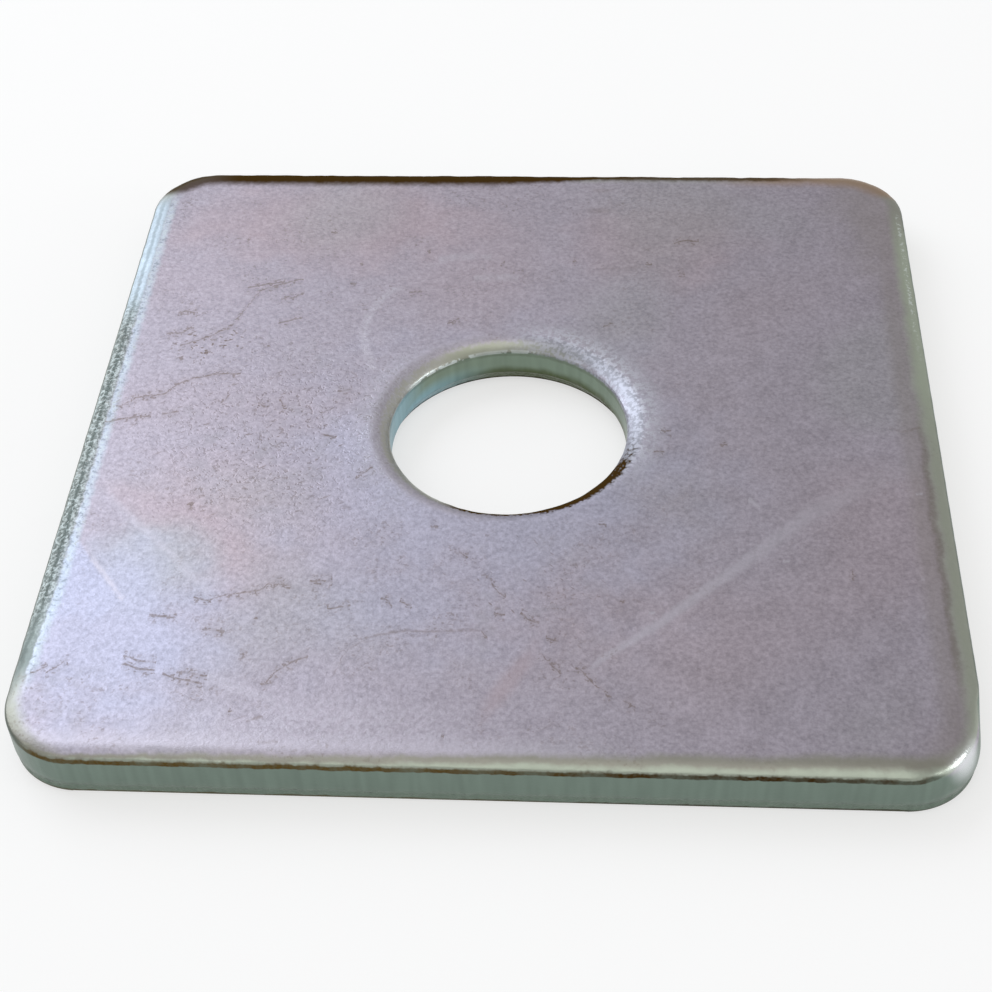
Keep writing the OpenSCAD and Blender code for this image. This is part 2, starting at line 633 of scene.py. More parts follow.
def patch(centre, half_size):
    """A soft patch of the faces with a ragged border: 1 in its middle and 0 outside."""
    away = reckon_place("SUBTRACT", seen_from_above, (*centre, 0))
    reach = length(reckon_place("DIVIDE", away, (*half_size, 1)))
    return fall(reckon("ADD", reach, ragged), 0.3, 1.35)


past_border = rise(along((0.722, 0.692, 0), place), -21.1, -20.4)
pink = most(
    times(rise(bloom, 0.45, 0.75), 0.3),
    times(patch((-12.5, 19), (12, 5)), 0.6),
    times(patch((9, 18), (6, 5.5)), 0.5),
    times(patch((-15.5, -9), (8, 6)), past_border, 0.65),
)
green = most(times(fall(bloom, 0.25, 0.45), 0.4), times(patch((-19, -11.8), (4, 3.5)), 0.8))
before_streak = fall(along((0.8, 0.6, 0), place), -25.1, -24.6)
lilac = most(
    times(patch((-21, -17.5), (7, 7.5)), 0.8),
    times(patch((-23.5, -13), (4, 6)), before_streak),
    times(patch((-4.5, -14), (6, 4)), 0.4),
    times(patch((-1, -5), (12, 12)), 0.55),
)
plate = paint(pink, MAUVE_GREY, PINK_BLOOM)
plate = paint(green, plate, GREEN_BLOOM)
plate = paint(lilac, plate, LILAC_BLOOM)
shade = reckon("ADD", 1, reckon("ADD", swing(fine, 0.32), swing(blotch, 0.12)))
plate = add_node("ShaderNodeHueSaturation", {"Color": plate, "Value": shade}).outputs[0]
print("plate and bloom:", len(zinc.node_tree.nodes), "nodes")

# %% [markdown]
# ## Sheared edges
# The rolled edges and the walls are greener than the faces. The front roll is khaki, and a painted
# highlight pales it towards its shear line. Painted light lifts the shade of the slopes just above the front
# roll on the left and round the left of the hole. The right roll is sage with a brown fringe along its inner
# border. The die drags fine upright lines down the burnished land, and the torn zones are darker and coarser.
# The blue at the left of the bore is a painted reflection. All of it is painted by height and by distance
# from the edge, and the boundary between land and tear wavers as a real tear does.

# %% Rolled edges
ROLL_GREEN_GREY = (0.330, 0.345, 0.295, 1)
ROLL_SAGE = (0.440, 0.500, 0.405, 1)
FRINGE_BROWN = (0.190, 0.165, 0.145, 1)
ROLL_KHAKI = (0.282, 0.280, 0.234, 1)
PAINTED_ROLL_HIGHLIGHT = (0.405, 0.450, 0.380, 1)
LIP_GREY = (0.470, 0.475, 0.410, 1)
PAINTED_LIGHT_PALE = (0.520, 0.490, 0.560, 1)
LIP_KHAKI = (0.400, 0.425, 0.335, 1)
DULL_BROWN = (0.292, 0.264, 0.250, 1)

ragged_gap = reckon("ADD", edge_gap, reckon("ADD", swing(fleck, 0.15), swing(rag, 0.3)))
on_roll = times(fall(ragged_gap, 0.4, edge_roll_width + 0.3), upper)
at_front = fall(y, 0.9 - plate_side / 2, 2.2 - plate_side / 2)
at_right = rise(x, plate_side / 2 - 4, plate_side / 2 - 1.5)
beside_roll = times(at_right, fall(reckon("ABSOLUTE", reckon("SUBTRACT", ragged_gap, 1.5)), 0.2, 1.3))
brown_corner = patch((23.2, 19.8), (3.2, 6))
colour = paint(times(most(beside_roll, brown_corner), 0.45), plate, DULL_BROWN)
colour = paint(times(on_roll, reckon("SUBTRACT", 1, at_front), 0.85), colour, ROLL_GREEN_GREY)
sage_share = times(reckon("MULTIPLY_ADD", rise(y, -4, 6), 0.45, 0.4), fall(y, 17, 21.5))
colour = paint(times(on_roll, at_right, sage_share), colour, ROLL_SAGE)
fringe_gap = reckon("ABSOLUTE", reckon("SUBTRACT", ragged_gap, 1.05))
fringe_run = times(at_right, rise(y, -21, -17), fall(y, -3, 3), upper)
fringe = times(fringe_run, fall(fringe_gap, 0.05, 0.35), reckon("ADD", 0.4, times(speckled, 0.15)))
colour = paint(fringe, colour, FRINGE_BROWN)
front_width = reckon("MULTIPLY_ADD", x, 0.03, 1.02)
front_band = fall(reckon("DIVIDE", ragged_gap, front_width), 0.5, 1)
colour = paint(times(front_band, at_front, upper, 0.9), colour, ROLL_KHAKI)
# Painted highlight: a pale cream band along the lower front roll, towards its shear line.
highlight_band_width = reckon("MULTIPLY_ADD", x, 0.011, 0.42)
painted_highlight_band = fall(reckon("DIVIDE", ragged_gap, highlight_band_width), 0.3, 1)
colour = paint(times(painted_highlight_band, at_front, upper), colour, PAINTED_ROLL_HIGHLIGHT)
# Painted light: a pale band just above the front roll on the left lifts the shade where the roll slopes.
front_painted_light = times(at_front, rise(ragged_gap, 0.5, 0.9), fall(x, -2, 10), upper, 0.55)
colour = paint(front_painted_light, colour, PAINTED_LIGHT_PALE)
front_left = fall(along((0.707, 0.707, 0), place), -33.5, -32)
colour = paint(times(front_left, fall(ragged_gap, 0.5, 1), upper, 0.8), colour, ROLL_KHAKI)
ragged_lip = reckon("ADD", lip_gap, swing(pepper, 0.25))
on_lip = times(fall(ragged_lip, 0.3, 0.7), upper)
left_lip = fall(along((1, 0, 0), bearing), -0.6, 0.2)
back_lip = rise(along((0, 1, 0), bearing), 0.75, 0.92)
# Painted light: a pale, speckled ring round the left of the hole lifts the shade of the lip's slope.
lip_painted_light = times(fall(ragged_lip, 0.8, 1.4), left_lip, reckon("ADD", 0.45, times(speckled, 0.45)))
colour = paint(times(lip_painted_light, upper), colour, PAINTED_LIGHT_PALE)
colour = paint(times(on_lip, left_lip, 0.85), colour, LIP_GREY)
colour = paint(times(on_lip, back_lip, 0.8), colour, LIP_KHAKI)
print("rolled edges:", len(zinc.node_tree.nodes), "nodes")

# %% Land and torn zones
WALL_GREEN_GREY = (0.178, 0.234, 0.198, 1)
TORN_GREEN_GREY = (0.140, 0.180, 0.135, 1)
BORE_GREY = (0.205, 0.264, 0.206, 1)
TORN_OLIVE = (0.066, 0.082, 0.030, 1)
PAINTED_BLUE_REFLECTION = (0.265, 0.460, 0.550, 1)

in_bore = fall(lip_gap, 0.5, 0.6)
line_height = reckon("SUBTRACT", wall_shear_line, times(in_bore, wall_shear_line - hole_shear_line))
on_side = most(fall(edge_gap, 0.15, 0.3), in_bore)
on_face = reckon("SUBTRACT", 1, on_side)
below_line = reckon("SUBTRACT", line_height, z)
on_wall = times(on_side, rise(below_line, -0.02, 0.08))
tear_top = reckon("MULTIPLY_ADD", in_bore, 0.4, torn_height)
above_tear = reckon("ADD", reckon("SUBTRACT", z, tear_top), swing(blotch, 0.3))
in_tear = times(on_wall, fall(above_tear, -0.4, 0.25))
drag = clouds(0.3, 0.0, 0.5, stretch=(1, 1, 14))
dragged_shade = reckon("ADD", 1, swing(drag, 0.12))
land = paint(in_bore, WALL_GREEN_GREY, BORE_GREY)
torn = paint(in_bore, TORN_GREEN_GREY, TORN_OLIVE)
wall = paint(times(in_tear, reckon("ADD", 0.4, times(in_bore, rise(x, -5, 0), 0.45))), land, torn)
# Painted reflection: the lower left of the bore wall is painted blue, as light reflected off it.
bore_blue_reflection = times(fall(x, -6.4, -1), most(fall(z, 0.9, 1.9), fall(x, -6.8, -5)))
wall = paint(times(in_bore, bore_blue_reflection, 0.75), wall, PAINTED_BLUE_REFLECTION)
wall = add_node("ShaderNodeHueSaturation", {"Color": wall, "Value": dragged_shade}).outputs[0]
colour = paint(on_wall, colour, wall)
print("land and tear:", len(zinc.node_tree.nodes), "nodes")

# %% [markdown]
# ## Lip halo and the dragged edge
# Beside the hole the punch roughened the plate into a pale, fuzzy halo, which is partly the rough zinc and
# partly a painted reflection of the light; the slope of the lip under it is painted darker as painted shade.
# A painted highlight glints along the rim at the back. Along the left edge the steel was dragged rough: the
# outer half of the roll is pitted, with a dark crack along it, and the inner half carries painted sparkles
# and a painted highlight. The far end of that strip is painted pale as a highlight and its near end a dark
# teal. Fine noise breaks the halo and the strip up, and each keeps to its own side by its bearing from the
# hole or its distance from the edge. A thin painted shade ends the plate on the left and the right, and a
# painted glint runs along the right roll near the back.

# %% Halo with painted sheen, painted shade on the lip slope, and painted rim glint
HALO_ZINC_AND_SHEEN = (0.520, 0.530, 0.600, 1)
SHADED_HALO_SLOPE = (0.360, 0.365, 0.415, 1)
SLOPE_SHADE = (0.205, 0.210, 0.230, 1)
PAINTED_GLINT = (0.780, 0.850, 0.840, 1)

# The halo is partly the rough zinc round the hole and partly a painted reflection of the light.
halo_side = most(
    rise(along((0.88, 0.47, 0), bearing), 0.3, 0.85),
    times(fall(along((1, 0, 0), bearing), -0.95, -0.5), 0.4),
)
halo_reach = reckon("ADD", lip_gap, reckon("ADD", swing(pepper, 0.6), swing(blotch, 0.3)))
halo = times(halo_side, fall(halo_reach, 1.2, 2.8), upper)
fuzz = reckon("ADD", 0.2, times(rise(pepper, 0.42, 0.58), 0.75))
right_lip = rise(along((0.95, 0.3, 0), bearing), 0.2, 0.7)
# Painted shade: the lip's slope on the right is painted darker, and the halo on it takes a darker copy.
slope = times(right_lip, rise(lip_gap, 0.05, 0.4), fall(ragged_lip, 0.7, 1.15), upper)
colour = paint(times(slope, 0.85), colour, SLOPE_SHADE)
colour = paint(times(halo, fuzz), colour, paint(slope, HALO_ZINC_AND_SHEEN, SHADED_HALO_SLOPE))
# Painted highlight: a broken bright glint along the rim at the back of the bore.
bright_rim = rise(along((-0.63, 0.78, 0), bearing), 0.9, 0.97)
faint_rim = rise(along((-0.28, 0.96, 0), bearing), 0.84, 0.92)
rim_side = most(bright_rim, times(faint_rim, 0.6))
rim_breaks = rise(reckon("ADD", fleck, swing(pepper, 0.12)), 0.42, 0.52)
rim = times(in_bore, rim_side, fall(reckon("ABSOLUTE", below_line), 0.05, 0.14), rim_breaks)
colour = paint(rim, colour, PAINTED_GLINT)

# %% Dragged edge
DARK_PIT = (0.046, 0.060, 0.054, 1)
PAINTED_CYAN_HIGHLIGHT = (0.440, 0.520, 0.600, 1)
PAINTED_SPARKLE = (0.520, 0.580, 0.580, 1)
EDGE_GREEN = (0.250, 0.280, 0.275, 1)
EDGE_TEAL_AND_SHADE = (0.085, 0.115, 0.103, 1)

near_end = fall(y, -19, -13)
drag_gap = reckon("ADD", edge_gap, reckon("ADD", swing(fleck, 0.2), times(near_end, 0.25)))
at_left = times(fall(x, -23.2, -22.4), rise(y, -21.5, -18.5), fall(y, 20.5, 23), upper)
outer_half = times(at_left, rise(edge_gap, 0.06, 0.18), fall(drag_gap, 0.95, 1.15))
inner_half = times(at_left, rise(drag_gap, 1.0, 1.15), fall(drag_gap, 1.25, 1.75))
pitted = reckon("ADD", 0.12, times(fall(pepper, 0.41, 0.52), 0.6))
far_end = rise(y, 7.5, 13)
rough = reckon("SUBTRACT", 1, most(far_end, near_end))
pits = times(outer_half, pitted, reckon("MULTIPLY_ADD", rough, 0.75, 0.15))
painted_outer_sparks = times(outer_half, rise(pepper, 0.54, 0.62), rough, 0.3)
crack_gap = reckon("ABSOLUTE", reckon("SUBTRACT", drag_gap, 0.58))
crack = times(outer_half, fall(crack_gap, 0.04, 0.24), reckon("MULTIPLY_ADD", rough, 0.42, 0.42))
colour = paint(times(outer_half, 0.75), colour, EDGE_GREEN)
# Painted highlight: the far end of the outer half is painted pale cyan.
colour = paint(times(outer_half, far_end, 0.7), colour, PAINTED_CYAN_HIGHLIGHT)
colour = paint(times(outer_half, near_end, 0.5), colour, EDGE_TEAL_AND_SHADE)
# Painted highlight: the inner half is painted pale cyan.
colour = paint(times(inner_half, 0.6), colour, PAINTED_CYAN_HIGHLIGHT)
colour = paint(times(inner_half, fall(pepper, 0.36, 0.46), 0.35), colour, DARK_PIT)
colour = paint(most(pits, crack), colour, DARK_PIT)
# Painted glints: pale sparkles over the inner half and the rough outer half.
colour = paint(most(times(inner_half, rise(pepper, 0.5, 0.62), 0.45), painted_outer_sparks), colour, PAINTED_SPARKLE)
# Painted glint: a broken bright line along the right roll near the back.
glint_run = times(rise(x, 23.4, 24), rise(y, 4, 12), fall(y, 19.5, 21.5), upper)
glint_line = fall(reckon("ABSOLUTE", reckon("SUBTRACT", edge_gap, 0.4)), 0.05, 0.22)
painted_right_glint = times(glint_run, glint_line, reckon("ADD", 0.05, times(rise(pepper, 0.52, 0.64), 0.55)))
colour = paint(painted_right_glint, colour, PAINTED_GLINT)
# Painted shade: a thin dark line along the outer edge of the left and right rolls.
side_edge_shade = times(rise(reckon("ABSOLUTE", x), 23, 24), fall(edge_gap, 0.03, 0.17), upper)
colour = paint(times(side_edge_shade, 0.75), colour, EDGE_TEAL_AND_SHADE)
print("halo and dragged edge:", len(zinc.node_tree.nodes), "nodes")

# %% [markdown]
# ## Scratches and streaks
# The upper face has its own scratches, each where a knock put it. Modelling them would take a far finer
# mesh, and measuring the distance to every stroke would take hundreds of nodes. A Float Curve node is a
# drawing board for this: its curve runs from left to right over the plate, and a scratch lies where the
# curve and a point meet. Strokes that don't overlap share one curve, which waits far off the plate
# between them. The point is wobbled first, which makes a straight stroke crooked.

# %% Where the marks are
BROWN_SCRATCHES = {
    "crooked": [(-20.7, 6.6), (-19, 7.5), (-17.8, 8.4), (-17, 10.6), (-16.5, 12), (-15.2, 12.7), (-14, 13.2)],
    "crooked smear": [(-17.1, 12.4), (-15.2, 12.9)],
    "crooked hook": [(-15, 11.3), (-14.2, 11.4), (-13.7, 12)],
    "lone dash": [(-14.8, 8.9), (-13.6, 9.4)],
    "second": [(-23.4, 1), (-22.4, 1.8), (-20.8, 2.2), (-20.3, 2.9), (-19.3, 3.6), (-18, 4), (-16.6, 4)],
    "edge nick": [(-23.8, -0.4), (-22.8, -0.1), (-21.5, 0.2)],
    "nick tail": [(-20.6, 0.4), (-19.8, 0.6)],
    "slash": [(-17.2, 1.4), (-16.9, 2.2)],
    "tick": [(-15, 1.3), (-14.5, 0.9)],
    "next tick": [(-13.7, 1.7), (-13.4, 1)],
    "double dash": [(-10.9, -1.2), (-10, -1.4)],
    "loop": [(-21.6, 7.8), (-20.8, 7.8), (-20.3, 8.3)],
    "loop above": [(-21.3, 9.7), (-20.9, 9.9), (-20.3, 9.8)],
    "arc dash": [(-6.8, 12), (-6.1, 12)],
    "arc slash": [(-4.1, 9), (-3.6, 9.5)],
    "back tick": [(5.6, 8.8), (5.9, 9.1)],
    "left dash": [(-10.3, 2.6), (-9.7, 2.8)],
    "rim slash": [(-8.4, -4.8), (-7.7, -3.9)],
    "back curl": [(10, 17.3), (10.6, 17.6), (11.4, 17.5)],
    "rim dash": [(9, -0.5), (9.5, -0.6)],
    "rim dash below": [(8.6, -2.3), (9, -2.4)],
    "left hook": [
        (-16.2, -14.2), (-15.5, -14.4), (-14.7, -14), (-12.7, -13.5), (-12.3, -12.9), (-11.9, -13.1),
    ],
    "hook tail": [(-11.7, -12.9), (-11.3, -13.2)],
    "hook end": [(-10, -12.8), (-9.1, -12.9)],
    "upper twin": [(-19.2, -18.4), (-18.6, -18.7), (-17.6, -18.8)],
    "lower twin": [(-19.2, -18.9), (-18.5, -19.2), (-17.6, -19.3)],
    "next upper twin": [(-16.1, -19.4), (-15.4, -19.5), (-14.8, -19.6)],
    "next lower twin": [(-16.9, -19.5), (-15.8, -19.9), (-14.9, -20.1)],
    "front slash": [(-11.6, -20.1), (-10.9, -18.9), (-9.7, -18.1)],
    "corner scuff": [(-23.8, -19.6), (-23.2, -19.1)],
    "corner scuff end": [(-23.1, -19.6), (-22.3, -18.7)],
    "smudge": [(-18.3, -15.5), (-17.2, -15.6)],
    "smudge beside": [(-15.3, -16.4), (-14.4, -16.5)],
    "smudge below": [(-13.2, -18.1), (-12.8, -18)],
    "left line": [(-8.8, -14.8), (-7.8, -14.5)],
    "zigzag": [(-5.9, -14), (-5.5, -14.5)],
    "zigzag end": [(-5, -14.1), (-4.6, -14.5)],
    "chain start": [(-2.1, -10.5), (-1.7, -10.9)],
    "chain above": [(-0.7, -12.2), (0, -13.1), (0.5, -13.7)],
    "chain dot": [(0.2, -14.9), (0.5, -15)],
    "chain tick": [(-0.6, -16.1), (-0.3, -16.5)],
    "chain middle": [(1.5, -14.8), (1.9, -15.3), (2.4, -15.5)],
    "chain knot": [(2.9, -16.6), (3.3, -16.8)],
    "chain below": [(2.6, -17.6), (3.1, -18.3), (3.6, -18.8)],
    "chain long": [(4.6, -18.5), (5.2, -19.2), (6.1, -20.4)],
    "chain end": [(7, -20.7), (7.5, -21)],
}
PINK_STREAK = {"pink": [(-0.6, -22), (1.1, -19.4), (2.6, -17)]}
FAINT_STAINS = {
    "arc": [(-8.1, -19.4), (-7.6, -17.6), (-6.4, -16.6), (-5, -16.3), (-3, -16.2), (-0.9, -16.1)],
    "back curl": [(-18.9, 17.3), (-18.3, 18), (-17, 17.9)],
    "back line": [(5.4, 14.5), (8.2, 14.8)],
    "arc line": [(-5.8, 12.8), (-4, 12.6)],
    "right line": [(22.3, -0.1), (23.1, -0.4), (23.9, 0)],
    "front grey": [(-12.1, -22.5), (-11.4, -22.3)],
    "edge grey": [(-11.2, -23.8), (-10.4, -23.7)],
}
PALE_STREAKS = {
    "left short": [(-22.4, -11.5), (-21.4, -12.7), (-20.3, -14.3)],
    "right short": [(14, -6.2), (14.4, -6.7)],
}
SOFT_STREAKS = {
    "left border": [(-22.3, -6.7), (-20.9, -8.2), (-19.2, -9.9), (-17.7, -11.5), (-15.5, -13.8)],
    "front hair": [(-14.6, -19.6), (-13.2, -20.3), (-11.2, -21.1), (-10.2, -21.6)],
    "arc over": [(-5.2, 15.4), (-3.6, 15.7), (-2, 15.8)],
    "arc under": [(-2.8, 13.5), (-0.2, 13.7)],
}
NUT_ARC = {"nut arc": [(-7.8, 12.4), (-8.7, 11.3), (-9.2, 9.8), (-9.4, 8.4), (-9.2, 6.8), (-8.5, 4.6)]}
LONG_STREAK = {"long": [(5.1, -18.5), (8.8, -15.3), (12.7, -11.6), (17.1, -7.2), (23.5, -2.7)]}
DARK_SPOTS = [
    (-18, 17.4), (-12.4, 18.2), (-18.7, 7.2), (-18.8, 6), (-20.4, 5.5), (-15.1, 6.6), (-6, 16.3),
    (-10.3, 14.9), (-10.6, 12.8), (3.6, 15.3), (-1.1, 15.1), (10.4, 14.2), (8.3, 15.1), (-12.7, -15.6),
    (-17.7, -7.2), (-13.1, -21.9), (-3.7, -8.6), (5.7, -8.2), (6.8, -13.9), (19.1, -11.7), (12.6, -1.6),
    (-2.1, -23.2),
]
PALE_SPOTS = [
    (11.4, -9.8), (15.6, -10.8), (23.4, -5.4), (22.9, -11.9), (22.6, -14.6), (8.3, -14.6), (3.9, -10.8),
    (22.7, -21.3),
]
SPOT_WIDTH = 0.1


def as_strokes(spots):
    """Spots turned into very short strokes."""
    return [[(across - SPOT_WIDTH / 2, up), (across + SPOT_WIDTH / 2, up)] for across, up in spots]


# %% Draw strokes with Float Curves
BOARD = 52.0
BOARD_STEP = 0.2
OFF_BOARD = -40.0
WOBBLE = 0.22

crooked_x = reckon("ADD", x, swing(fleck, WOBBLE))
crooked_y = reckon("ADD", reckon("ADD", y, swing(blotch, WOBBLE)), swing(pepper, WOBBLE / 4))


def on_board(length):
    """A place in millimetres as a share of the drawing board, with the plate's middle at 0.5."""
    return length / BOARD + 0.5


def side_by_side(strokes):
    """Share strokes out into as few rows as can be, so that no two strokes of a row overlap."""
    rows = []
    for stroke in sorted(strokes):
        for row in rows:
            if row[-1][-1][0] + 5 * BOARD_STEP < stroke[0][0]:
                row.append(stroke)
                break
        else:
            rows.append([stroke])
    return rows


def draw_row(row, board_place):
    """One Float Curve that passes through every stroke of a row."""
    board = add_node("ShaderNodeFloatCurve", {1: board_place})
    line = board.mapping.curves[0].points
    board.mapping.use_clip = False
    for end in (0, 1):
        line[end].location = (end, OFF_BOARD)
        line[end].handle_type = "VECTOR"
    for stroke in row:
        start, end = stroke[0][0], stroke[-1][0]
        line.new(on_board(start - 2 * BOARD_STEP), OFF_BOARD).handle_type = "VECTOR"
        for across, up in ((start - BOARD_STEP, stroke[0][1]), *stroke, (end + BOARD_STEP, stroke[-1][1])):
            line.new(on_board(across), on_board(up)).handle_type = "VECTOR"
        line.new(on_board(end + 2 * BOARD_STEP), OFF_BOARD).handle_type = "VECTOR"
    board.mapping.update()
    return board.outputs[0]


def nearest(strokes, across=crooked_x, up=crooked_y):
    """How far above or below the nearest of these strokes a point lies, in millimetres."""
    board_place = reckon("MULTIPLY_ADD", across, 1 / BOARD, 0.5)
    height = reckon("MULTIPLY_ADD", up, 1 / BOARD, 0.5)
    gaps = []
    for row in side_by_side(strokes):
        gaps.append(reckon("ABSOLUTE", reckon("SUBTRACT", height, draw_row(row, board_place))))
    closest = gaps[0]
    for gap in gaps[1:]:
        closest = reckon("MINIMUM", closest, gap)
    return reckon("MULTIPLY", closest, BOARD)


scratch_gap = nearest([*BROWN_SCRATCHES.values(), *as_strokes(DARK_SPOTS)])
stain_gap = nearest(FAINT_STAINS.values())
pale_gap = nearest(PALE_STREAKS.values())
spot_gap = nearest(as_strokes(PALE_SPOTS))
soft_gap = nearest(SOFT_STREAKS.values())
long_gap = nearest(LONG_STREAK.values())
pink_gap = nearest(PINK_STREAK.values())
upright_arc = [sorted((up, across) for across, up in stroke) for stroke in NUT_ARC.values()]
arc_gap = nearest(upright_arc, crooked_y, crooked_x)
print("marks:", len(zinc.node_tree.nodes), "nodes")

# %% Paint the streaks and scratches
SCRATCH_BROWN = (0.165, 0.122, 0.094, 1)

broken = rise(fleck, 0.38, 0.55)
long_width = reckon("MAXIMUM", reckon("MULTIPLY_ADD", x, 0.065, 0.05), 0.1)
long_run = times(rise(x, 4.6, 6), fall(x, 9, 29))
long_streak = times(fall(reckon("DIVIDE", long_gap, long_width), 0.1, 1), long_run, 0.55)
ragged_arc = reckon("ADD", arc_gap, swing(pepper, 0.25))
pale = most(
    times(fall(pale_gap, 0.03, 0.35), reckon("ADD", 0.35, times(broken, 0.3))),
    times(fall(soft_gap, 0.05, 0.6), reckon("ADD", 0.16, times(broken, 0.18))),
    times(fall(ragged_arc, 0.05, 0.5), reckon("ADD", 0.2, times(speckled, 0.6))),
    times(fall(spot_gap, 0.0, 0.2), reckon("ADD", 0.25, times(speckled, 0.4))),
    times(patch((-9, -22.8), (9, 1.8)), reckon("ADD", 0.1, times(speckled, 0.35))),
    long_streak,
)
pink_run = times(rise(x, -0.8, 0.7), fall(x, 1.5, 3), upper)
colour = paint(times(fall(pink_gap, 0.2, 1.6), pink_run, 0.5), colour, PINK_BLOOM)
colour = paint(times(pale, upper, on_face), colour, PALE_ZINC)
ragged_scratch = reckon("ADD", scratch_gap, reckon("ADD", swing(pepper, 0.1), swing(fleck, 0.08)))
scratch = times(fall(ragged_scratch, 0.0, 0.14), reckon("ADD", 0.2, times(broken, 0.45)))
crumbs = times(rise(pepper, 0.56, 0.66), 0.45)
smear = times(fall(scratch_gap, 0.1, 0.75), reckon("ADD", 0.08, crumbs))
stronger_in_front = reckon("MULTIPLY_ADD", fall(y, -5, 5), 0.6, 0.4)
faint_share = times(reckon("ADD", 0.16, times(broken, 0.24)), stronger_in_front)
faint = times(fall(reckon("ADD", stain_gap, swing(pepper, 0.12)), 0.0, 0.17), faint_share)
print("streaks and scratches:", len(zinc.node_tree.nodes), "nodes")

# %% [markdown]
# ## Specks
# Between the scratches, the face is peppered with short dashes and specks, mostly to the left of the hole
# and in front of it. They are too many to place by hand: the peaks of a fine noise make the specks, and
# the same noise stretched one way makes dashes that lean like the scratches around them.

# %% Dashes and specks
GRIME = (0.270, 0.262, 0.285, 1)


def dashes(lean, offset, rarity):
    """Short random dashes that lean by this many degrees."""
    return rise(clouds(0.22, 1.0, 0.5, offset, (4, 1, 1), lean), rarity, rarity + 0.06)


def about(centre, half_size):
    """1 at the middle of a wide region and 0 outside it, with no sharp border."""
    away = reckon_place("SUBTRACT", seen_from_above, (*centre, 0))
    return fall(length(reckon_place("DIVIDE", away, (*half_size, 1))), 0.2, 1.2)


left_of_hole = about((-13, -1), (11, 11))
before_hole = about((1, -14), (7, 7))
scattered = times(rise(rag, 0.45, 0.65), reckon("MULTIPLY_ADD", fall(x, 2, 14), 0.2, 0.12))
by_crooked = times(about((-18.7, 6.8), (3.8, 2.4)), 0.8)
smudges = times(most(about((5.1, 20.8), (1, 0.4)), about((5.2, 23), (0.8, 0.3))), 0.22)
left_dashes = times(dashes(30, 5, 0.66), most(times(left_of_hole, broken, 0.5), times(scattered, 0.5)))
front_dashes = times(dashes(-45, 12, 0.69), most(times(before_hole, 0.5), times(scattered, 0.4)))
speck_share = most(times(left_of_hole, rise(rag, 0.3, 0.6), 0.35), scattered, by_crooked)
specks = times(rise(pepper, 0.58, 0.7), speck_share)
marks = most(scratch, smear, faint, smudges, left_dashes, front_dashes)
marks = times(most(times(marks, upper), specks), on_face)
front_left_grime = about((-22, -21.5), (4, 3.5))
grimy = most(left_of_hole, before_hole, scattered, front_left_grime)
grime = times(rise(blotch, 0.5, 0.7), grimy, upper, on_face)
colour = paint(times(grime, 0.3), colour, GRIME)
colour = paint(marks, colour, SCRATCH_BROWN)
print("specks:", len(zinc.node_tree.nodes), "nodes")

# %% [markdown]
# ## Dark brown along the shear lines
# A dark brown line is painted under the shear line at the front and the back. It is golden at the front
# left and tan at the back right. The roll at the back and the front lip of the hole are painted dark brown
# all over; on the back roll this is partly stain and partly a painted reflection of a dark surround. Along
# the foot of every wall a thin dark line is painted shade. Noise breaks the brown up, because an even line
# would look drawn. The brown is no metal, so it also takes the metal away.

# %% Dark brown along the shear lines, the back roll, the front lip and the foot
BROWN_STAIN_AND_SHADE = (0.050, 0.027, 0.007, 1)
GOLDEN_BROWN = (0.115, 0.075, 0.024, 1)
TAN_STAIN_AND_REFLECTION = (0.360, 0.235, 0.150, 1)

dark_line_depth = reckon("ADD", reckon("SUBTRACT", below_line, 0.14), swing(fleck, 0.12))
line_strength = reckon("ADD", 0.5, reckon("ADD", times(rise(rag, 0.38, 0.55), 0.38), times(speckled, 0.12)))
line_run = times(rise(x, -24.5, -22.5), fall(x, 21.5, 24.3))
line_gap = reckon("DIVIDE", reckon("ABSOLUTE", dark_line_depth), 0.2)
wall_line = times(on_side, fall(line_gap, 0.5, 1), line_strength)
wall_line = times(wall_line, reckon("SUBTRACT", 1, times(in_bore, 0.8)), line_run)
# Painted shade: a dark line along the foot of every wall.
painted_foot_shade = times(on_side, fall(reckon("ADD", z, swing(blotch, 0.1)), 0.1, 0.22), 0.65)
# The back strip and its tan end are partly stain and partly a painted reflection of a dark surround.
back_fade = fall(reckon("ADD", x, swing(blotch, 2)), -4, 10)
back_reach = reckon("MULTIPLY_ADD", back_fade, 1.1, 0.6)
at_back = times(rise(y, 22, 23), upper)
back_strip = fall(reckon("DIVIDE", drag_gap, back_reach), 0.6, 1.1)
back_run = times(reckon("MULTIPLY_ADD", rise(x, -22.5, -19.5), 0.15, 0.85), fall(x, 10, 17))
back_line = times(fall(drag_gap, 0.6, 1.05), fall(x, 16, 21.5), 0.9)
back_stain_and_reflection = times(at_back, most(times(back_strip, back_run), back_line))
tan = times(at_back, rise(x, 11, 18), fall(ragged_gap, 0.5, 1.8))
lip_side = along((0.74, -0.67, 0), bearing)
lip_reach = reckon("MULTIPLY_ADD", rise(lip_side, 0.75, 0.97), 0.28, 0.56)
lip_dark_band = fall(reckon("SUBTRACT", reckon("ADD", lip_gap, swing(pepper, 0.3)), lip_reach), -0.15, 0.1)
lip_end = reckon("ADD", along((0, 1, 0), bearing), swing(pepper, 0.3))
lip_run = times(rise(lip_side, 0.15, 0.4), fall(lip_end, -0.5, -0.2), upper)
front_lip = times(lip_dark_band, lip_run)
stain_and_shade = most(wall_line, back_stain_and_reflection, front_lip, painted_foot_shade)
brown = paint(times(fall(y, -24, -20), fall(x, -5, 12)), BROWN_STAIN_AND_SHADE, GOLDEN_BROWN)
colour = paint(times(tan, 0.8), colour, TAN_STAIN_AND_REFLECTION)
colour = paint(stain_and_shade, colour, brown)
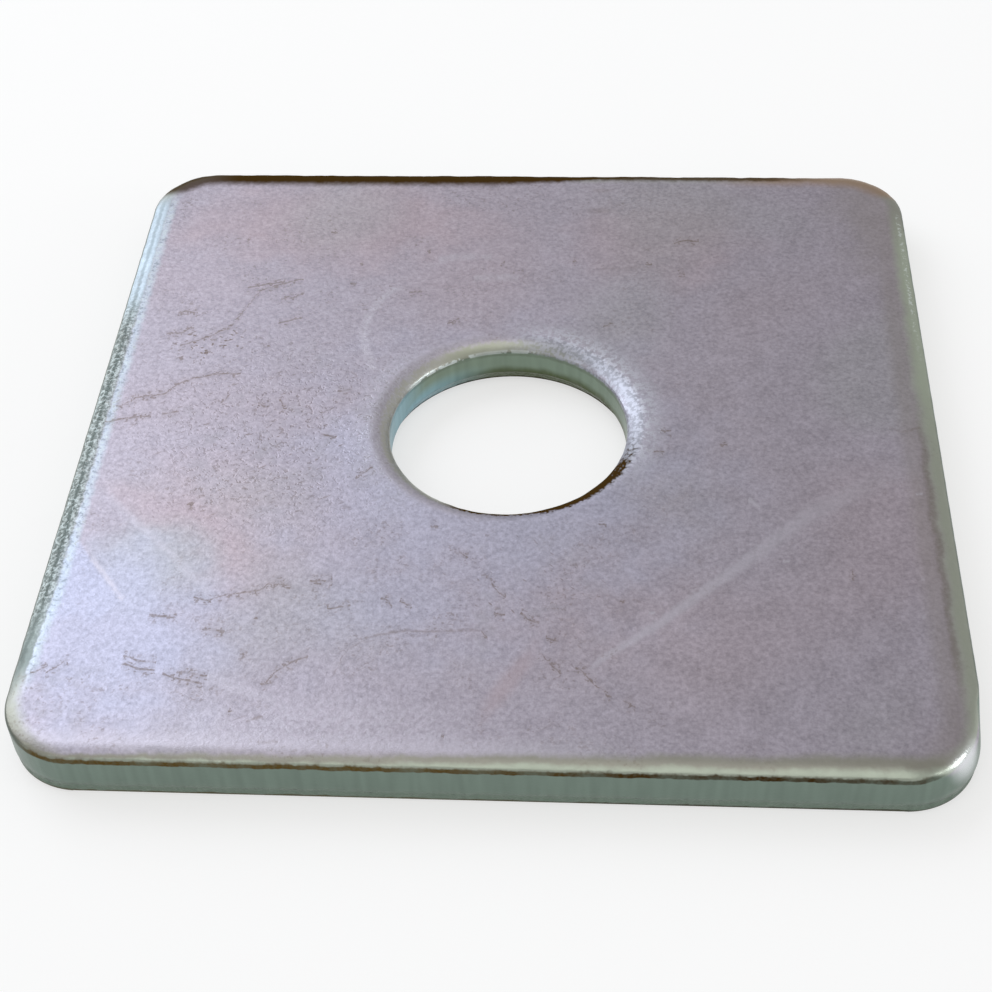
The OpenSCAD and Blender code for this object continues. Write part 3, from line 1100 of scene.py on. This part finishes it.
print("stain:", len(zinc.node_tree.nodes), "nodes")

# %% [markdown]
# ## Relief and gloss
# The grain also drives the relief, deeper where the steel is torn or dragged. The heights are in
# millimetres, and the Bump node is told that one unit of height is one millimetre. It works its heights
# out three times, so only the cheap patterns go into it. The corner that was knocked round is polished:
# it is smoother, and its pale colour is partly a painted highlight.

# %% Relief and gloss
GLOSS = 0.42
POLISHED_AND_HIGHLIGHT = (0.800, 0.830, 0.850, 1)

depth = reckon("ADD", 0.005, times(on_side, fall(z, torn_height - 0.1, torn_height + 0.1), 0.03))
relief = times(swing(fine, 1), depth)
edge_depth = reckon("MULTIPLY_ADD", rough, 0.07, 0.01)
relief = reckon("ADD", relief, times(swing(pepper, 0.5), edge_depth, fall(edge_gap, 0.8, 1.1), at_left))
relief = reckon("SUBTRACT", relief, times(rise(pepper, 0.56, 0.7), left_of_hole, 0.009))
bump = add_node("ShaderNodeBump", {"Height": relief, "Distance": MM, "Strength": 1.0})
# Polish and painted highlight: the knocked corner is smoother and painted pale.
from_corner = length(reckon_place("SUBTRACT", place, (24.2, -23.4, 2.5)))
polish_and_highlight = times(fall(from_corner, 0.5, 1.8), fall(edge_gap, 0.3, 0.9))
colour = paint(times(polish_and_highlight, 0.8), colour, POLISHED_AND_HIGHLIGHT)
roughness = reckon("ADD", GLOSS, swing(blotch, 0.06))
roughness = reckon("ADD", roughness, times(most(stain_and_shade, times(marks, 0.5)), 0.25))
roughness = reckon("SUBTRACT", roughness, times(most(times(on_wall, 0.3), polish_and_highlight), 0.2))
shader = zinc.node_tree.nodes["Principled BSDF"]
shader.inputs["Specular IOR Level"].default_value = 0.0
metal = reckon("SUBTRACT", 1, stain_and_shade)
zinc.node_tree.links.new(metal, shader.inputs["Metallic"])
zinc.node_tree.links.new(colour, shader.inputs["Base Color"])
zinc.node_tree.links.new(roughness, shader.inputs["Roughness"])
zinc.node_tree.links.new(bump.outputs["Normal"], shader.inputs["Normal"])
print("finish:", len(zinc.node_tree.nodes), "nodes")
